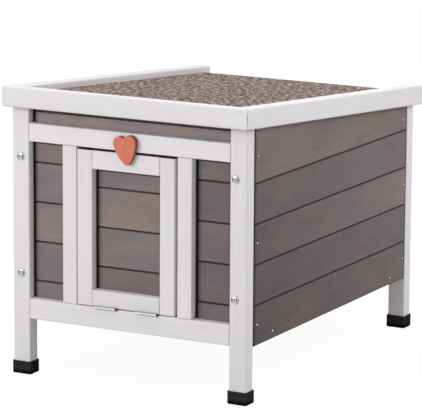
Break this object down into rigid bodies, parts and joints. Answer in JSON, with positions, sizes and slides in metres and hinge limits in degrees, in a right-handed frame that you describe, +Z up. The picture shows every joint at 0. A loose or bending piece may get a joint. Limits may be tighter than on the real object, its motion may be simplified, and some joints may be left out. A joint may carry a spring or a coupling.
{
  "type": "outdoor cat house",
  "caption": "Small raised wooden pet shelter with boarded walls, a hinged felted lean-to roof and a framed fold-down front door held by a heart-shaped turn button.",
  "frame": {"origin": "on the ground, under the middle of the whole house with its roof shut", "axes": "+Z up, the front wall with the door faces -Y, +X to the right seen from the front"},
  "size_m": [0.47, 0.6924, 0.5037],
  "materials": {
    "white_paint": "satin white paint over softwood",
    "grey_stain": "grey-brown stain, grain showing",
    "plain_pine": "bare softwood",
    "black_plastic": "matt black moulded",
    "roof_felt": "mineral-faced bitumen roofing felt",
    "coral_paint": "satin coral paint",
    "zinc": "zinc-plated steel"
  },
  "bodies": {
    "house": {"door_hinge_left_pin": "zinc", "door_hinge_left_sill_leaf": "zinc", "door_hinge_right_pin": "zinc", "door_hinge_right_sill_leaf": "zinc", "floor_board": "plain_pine", "front_bottom_rail": "white_paint", "front_eave_board": "grey_stain", "front_left_boards": "grey_stain", "front_left_foot_cap": "black_plastic", "front_left_post": "white_paint", "front_right_boards": "grey_stain", "front_right_foot_cap": "black_plastic", "front_right_post": "white_paint", "front_top_rail": "white_paint", "left_door_jamb": "white_paint", "left_floor_batten": "plain_pine", "left_front_batten": "plain_pine", "left_rear_batten": "plain_pine", "left_side_board_1": "grey_stain", "left_side_board_2": "grey_stain", "left_side_board_3": "grey_stain", "left_side_board_4": "grey_stain", "left_side_board_5": "grey_stain", "rear_boards": "grey_stain", "rear_bottom_rail": "white_paint", "rear_left_foot_cap": "black_plastic", "rear_left_post": "white_paint", "rear_right_foot_cap": "black_plastic", "rear_right_post": "white_paint", "rear_top_rail": "white_paint", "right_door_jamb": "white_paint", "right_floor_batten": "plain_pine", "right_front_batten": "plain_pine", "right_rear_batten": "plain_pine", "right_side_board_1": "grey_stain", "right_side_board_2": "grey_stain", "right_side_board_3": "grey_stain", "right_side_board_4": "grey_stain", "right_side_board_5": "grey_stain", "roof_hinge_left_pin": "zinc", "roof_hinge_left_wall_leaf": "zinc", "roof_hinge_right_pin": "zinc", "roof_hinge_right_wall_leaf": "zinc"},
    "roof": {"roof_deck": "plain_pine", "roof_felt": "roof_felt", "roof_front_trim": "white_paint", "roof_hinge_left_roof_leaf": "zinc", "roof_hinge_right_roof_leaf": "zinc", "roof_left_trim": "white_paint", "roof_rear_rail": "white_paint", "roof_right_trim": "white_paint"},
    "door": {"door_boards": "grey_stain", "door_bottom_rail": "white_paint", "door_hinge_left_door_leaf": "zinc", "door_hinge_right_door_leaf": "zinc", "door_left_stile": "white_paint", "door_right_stile": "white_paint", "door_top_rail": "white_paint", "heart_screw": "zinc"},
    "button": {"heart_button": "coral_paint"}
  },
  "joints": [
    {"name": "roof_hinge", "type": "hinge", "parent": "house", "child": "roof", "pos_m": [0, 0.32443, 0.41315], "axis": [-1, 0, 0], "range_deg": [0, 94]},
    {"name": "door_hinge", "type": "hinge", "parent": "house", "child": "door", "pos_m": [-0.0026, -0.32937, 0.1357], "axis": [1, 0, 0], "range_deg": [0, 114]},
    {"name": "button_turn", "type": "hinge", "parent": "door", "child": "button", "pos_m": [0.0028, -0.32648, 0.3952], "axis": [0, 1, 0], "continuous": true}
  ]
}
